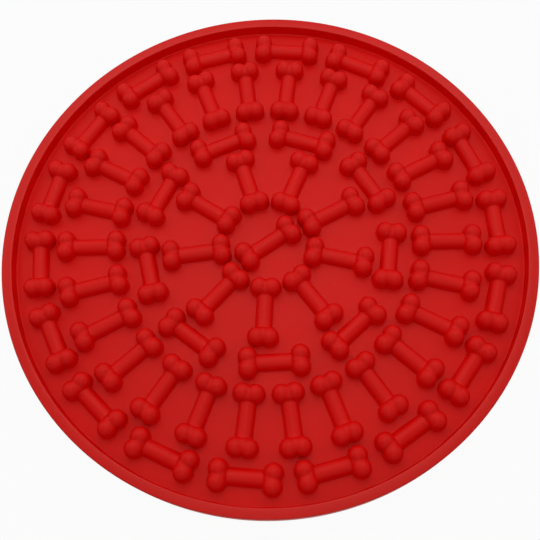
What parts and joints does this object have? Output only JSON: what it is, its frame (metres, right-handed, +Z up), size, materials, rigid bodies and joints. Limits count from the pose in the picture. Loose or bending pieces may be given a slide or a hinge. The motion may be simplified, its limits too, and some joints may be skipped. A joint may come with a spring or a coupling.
{
  "type": "lick mat",
  "caption": "Round silicone lick mat: a rimmed dish whose floor is covered with rings of raised bones that hold soft food, with suction cups underneath.",
  "frame": {"origin": "middle of the mat, on the surface that the suction cups' lips rest on", "axes": "+Z up out of the dish, square to the mat; -Y towards the reader of the picture, along one of the inner bones"},
  "size_m": [0.2008, 0.2008, 0.0115],
  "materials": {
    "silicone": "matt moulded silicone with a soft sheen"
  },
  "bodies": {
    "root": {"floor_sheet": "silicone", "rim": "silicone", "centre_bone": "silicone", "inner_spoke_bones": "silicone", "inner_cross_bones": "silicone", "outer_spoke_bones": "silicone", "outer_cross_bones": "silicone", "centre_cup": "silicone", "inner_cups": "silicone", "middle_cups": "silicone", "outer_cups": "silicone"}
  },
  "joints": []
}
